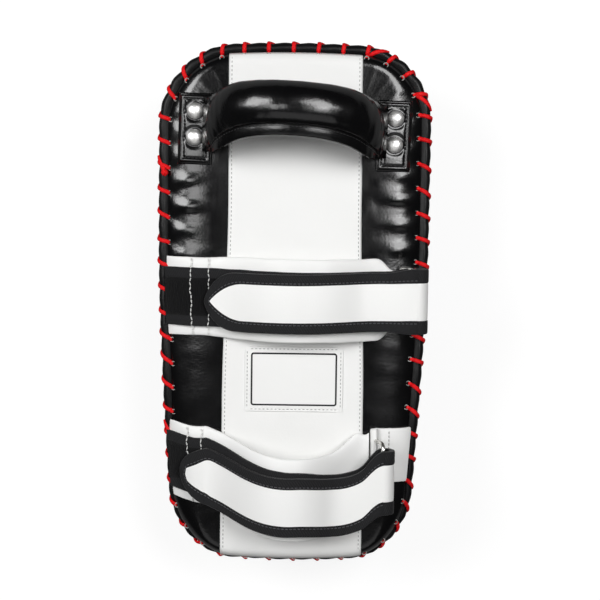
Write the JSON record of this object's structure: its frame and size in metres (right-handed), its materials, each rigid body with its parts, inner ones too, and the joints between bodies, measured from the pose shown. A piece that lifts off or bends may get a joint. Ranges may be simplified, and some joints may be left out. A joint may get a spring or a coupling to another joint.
{
  "type": "thai pad",
  "caption": "Laced forearm kick pad with a stuffed riveted handle and two turned-back hook and loop straps on wire rings, lying on its striking face.",
  "frame": {"origin": "middle of the flat striking face, on which the pad lies", "axes": "+Z points out of the strap side, +Y toward the handle end along the pad's length, +X across the pad toward the rings"},
  "size_m": [0.2134, 0.4062, 0.1612],
  "materials": {
    "black_leather": "satin",
    "white_leather": "satin",
    "red_lace": "satin",
    "binding_tape": "matte",
    "webbing": "matte",
    "hook_and_loop": "matte",
    "foam": "matte",
    "nickel": "polished"
  },
  "bodies": {
    "pad": {"strike_cover": "black_leather", "strike_foam": "foam", "core_foam": "foam", "back_foam": "foam", "back_panel": "black_leather", "centre_panel": "white_leather", "edge_piping": "black_leather", "edge_lacing": "red_lace", "label_patch": "white_leather", "label_border": "black_leather", "handle_patch_left": "black_leather", "handle_patch_right": "black_leather", "handle_tab_left": "black_leather", "handle_tab_right": "black_leather", "rivets": "nickel", "rivet_washers": "nickel", "upper_liner": "white_leather", "upper_band": "webbing", "upper_loop_tape": "hook_and_loop", "upper_band_binding": "binding_tape", "upper_ring_tab": "white_leather", "lower_liner": "white_leather", "lower_band": "webbing", "lower_loop_tape": "hook_and_loop", "lower_band_binding": "binding_tape", "lower_ring_tab": "white_leather"},
    "handle": {"handle_sleeve": "black_leather", "handle_core": "foam"},
    "upper_flap": {"upper_flap": "white_leather", "upper_flap_binding": "binding_tape", "upper_hook_tape": "hook_and_loop"},
    "upper_ring": {"upper_ring": "nickel"},
    "lower_flap": {"lower_flap": "white_leather", "lower_flap_binding": "binding_tape", "lower_hook_tape": "hook_and_loop"},
    "lower_ring": {"lower_ring": "nickel"}
  },
  "joints": [
    {"name": "handle_tilt", "type": "hinge", "parent": "pad", "child": "handle", "pos_m": [0, 0.136, 0.1123], "axis": [1, 0, 0], "range_deg": [-7, 37]},
    {"name": "upper_flap_peel", "type": "hinge", "parent": "pad", "child": "upper_flap", "pos_m": [0.0927, 0.007, 0.12698], "axis": [0, 1, 0], "range_deg": [0, 150]},
    {"name": "upper_ring_swing", "type": "hinge", "parent": "pad", "child": "upper_ring", "pos_m": [0.08023, 0.007, 0.10486], "axis": [0, 1, 0], "range_deg": [-7, 7]},
    {"name": "lower_flap_peel", "type": "hinge", "parent": "pad", "child": "lower_flap", "pos_m": [0.06868, -0.119, 0.13102], "axis": [0, 1, 0], "range_deg": [0, 150]},
    {"name": "lower_ring_swing", "type": "hinge", "parent": "pad", "child": "lower_ring", "pos_m": [0.06306, -0.119, 0.10495], "axis": [0, 1, 0], "range_deg": [-7, 7]}
  ]
}
